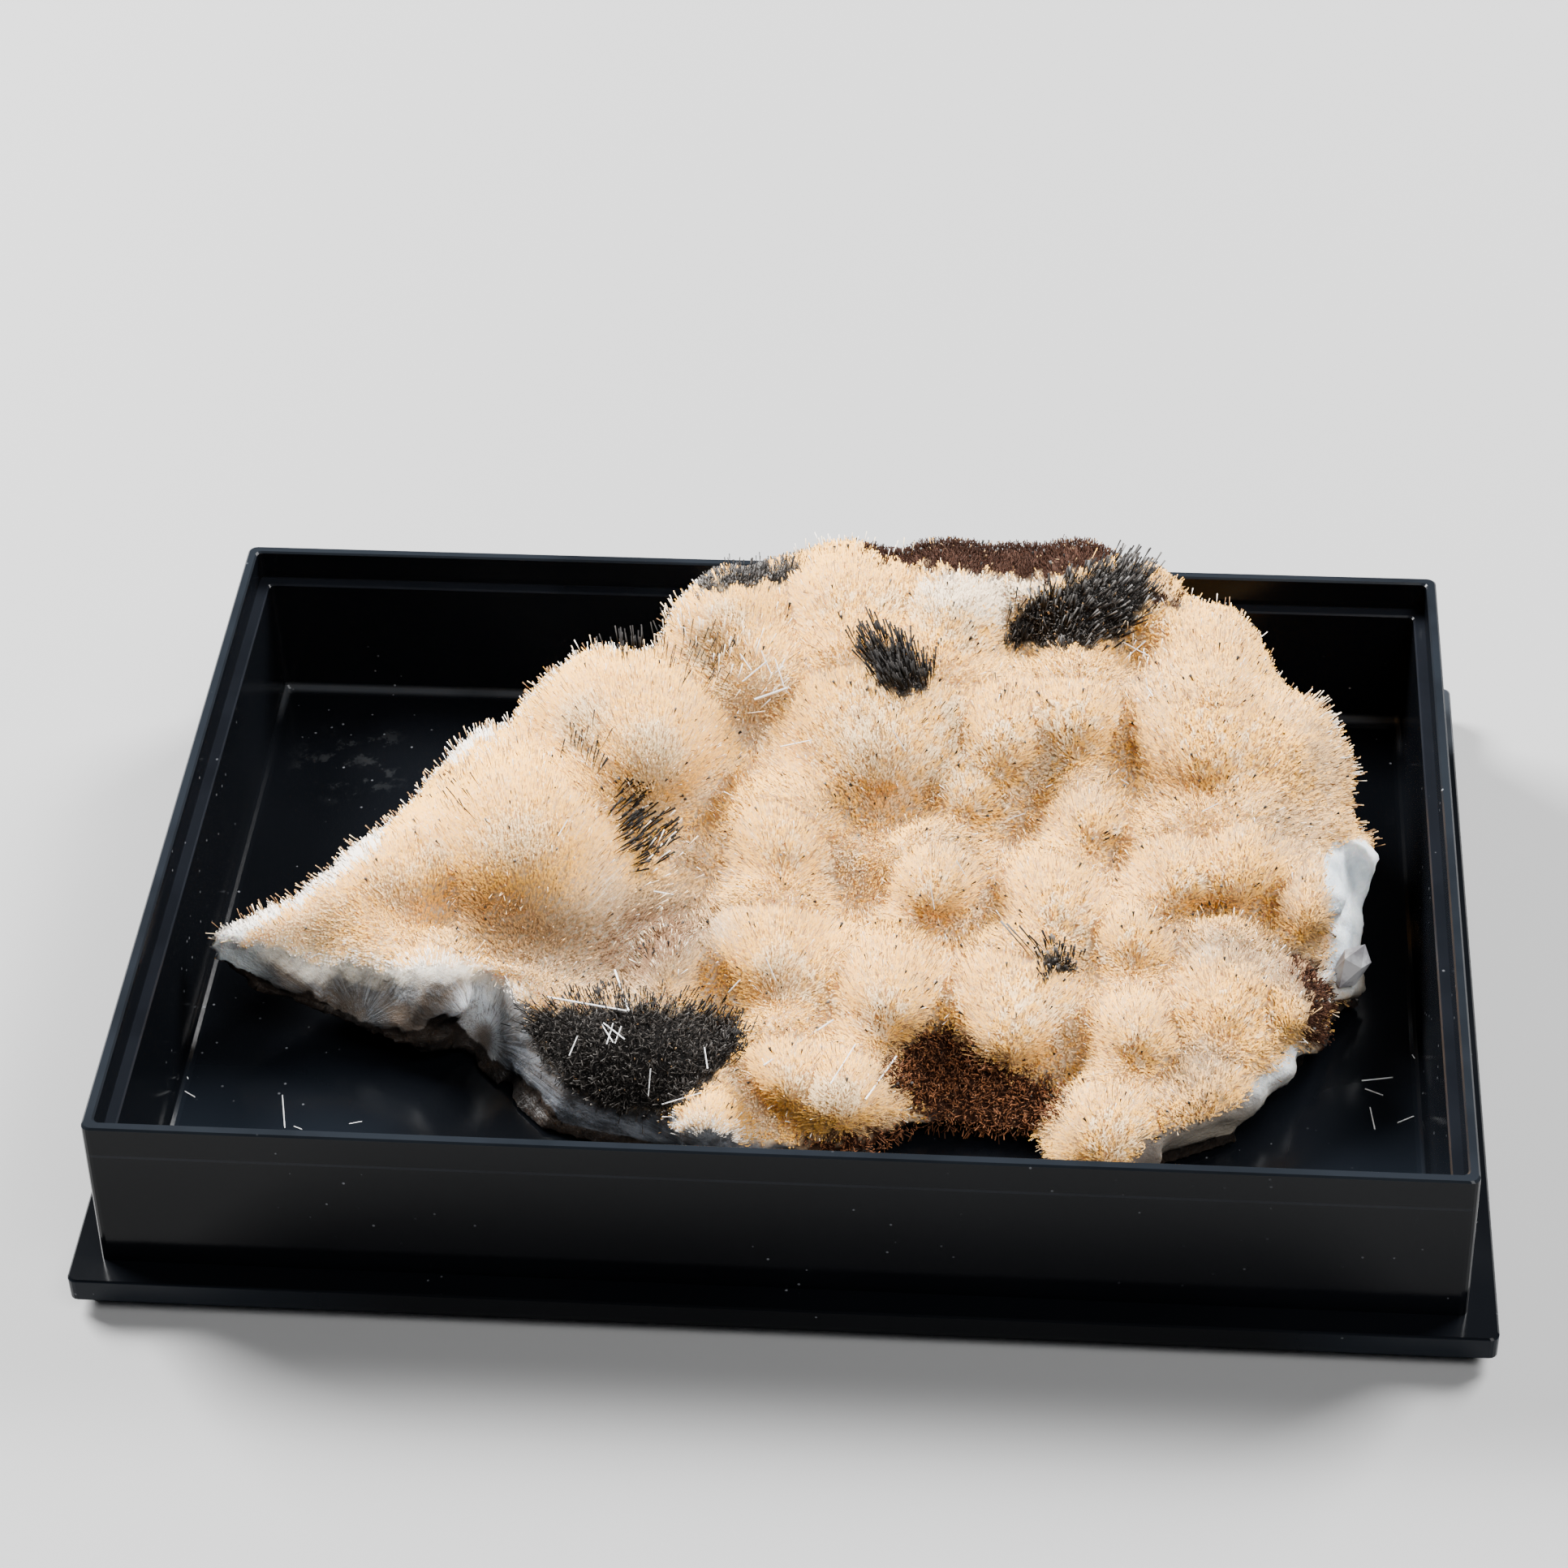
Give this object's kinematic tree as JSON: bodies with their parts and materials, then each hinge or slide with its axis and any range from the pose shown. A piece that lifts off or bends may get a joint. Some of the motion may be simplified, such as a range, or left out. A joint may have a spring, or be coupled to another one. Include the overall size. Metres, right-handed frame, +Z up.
{
  "type": "natrolite specimen in display tray",
  "caption": "Plate of rounded radiating needle-crystal sprays, broken at its edges, resting in an open shallow rectangular display tray with a stepped rim and flange.",
  "frame": {"origin": "middle of the display tray's underside", "axes": "+X along the tray's long side, to the viewer's right; -Y towards the viewer, at the side where the specimen's front edge lies low; +Z up out of the tray"},
  "size_m": [0.1152, 0.0816, 0.0289],
  "materials": {
    "natrolite": "cream to tan velvet of fine needle ends, with black and rust-brown patches and white broken fibrous edges",
    "black_styrene": "glossy black moulded plastic with faint dust and fine scratches"
  },
  "bodies": {
    "root": {"natrolite": "natrolite", "display_tray": "black_styrene"}
  },
  "joints": []
}
